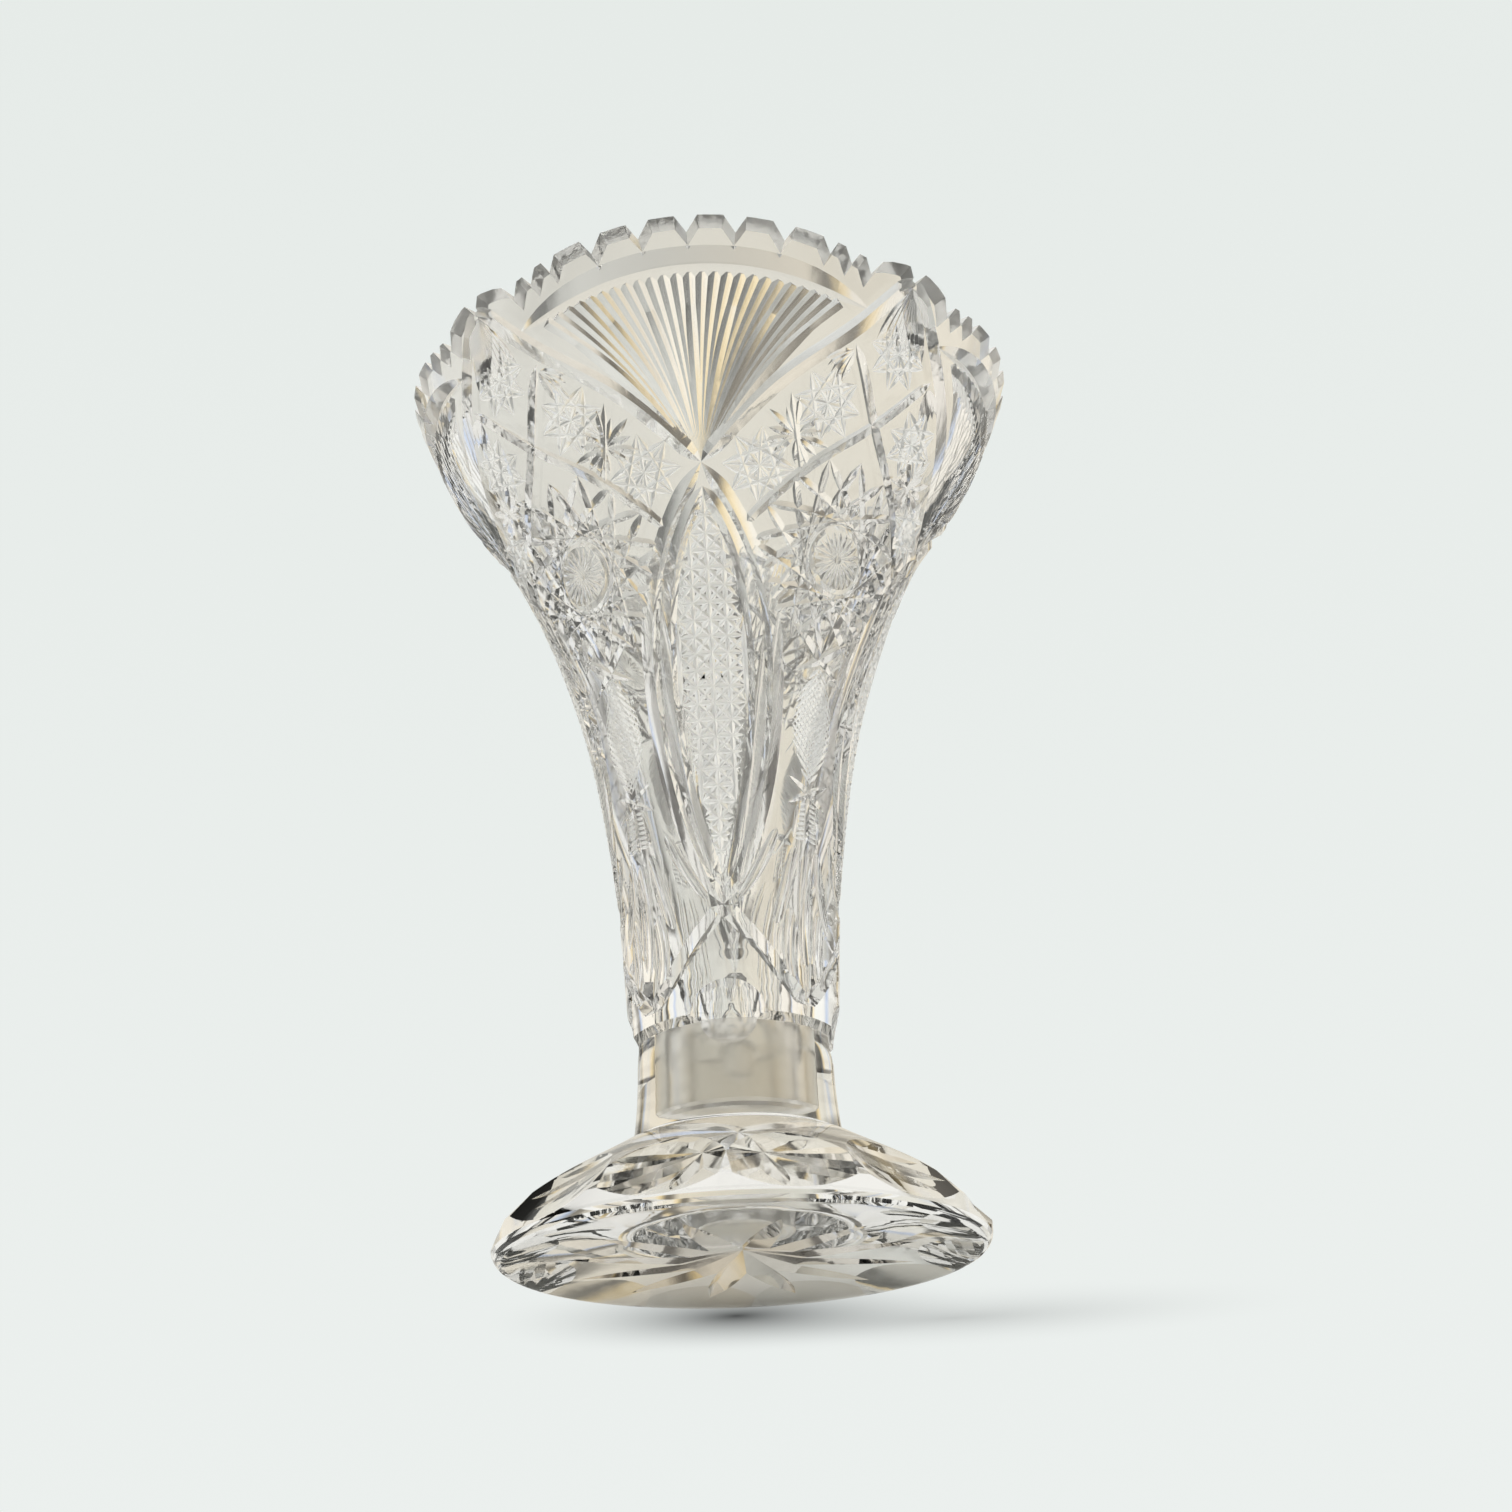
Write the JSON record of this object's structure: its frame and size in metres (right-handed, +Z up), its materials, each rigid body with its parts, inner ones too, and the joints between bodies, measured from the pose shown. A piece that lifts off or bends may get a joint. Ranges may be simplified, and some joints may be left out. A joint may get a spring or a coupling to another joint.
{
  "type": "vase",
  "caption": "Cut-glass trumpet vase with a serrated rim, fans, stars and pointed ovals, on a star-cut foot",
  "frame": {"origin": "centre of the underside of the foot, on the surface that the vase stands on", "axes": "+Z up along the axis of the trumpet; -Y faces the viewer, on the middle of one fan"},
  "size_m": [0.1754, 0.1754, 0.2539],
  "materials": {
    "crystal": "polished lead crystal"
  },
  "bodies": {
    "root": {"trumpet_body": "crystal", "foot": "crystal"}
  },
  "joints": []
}
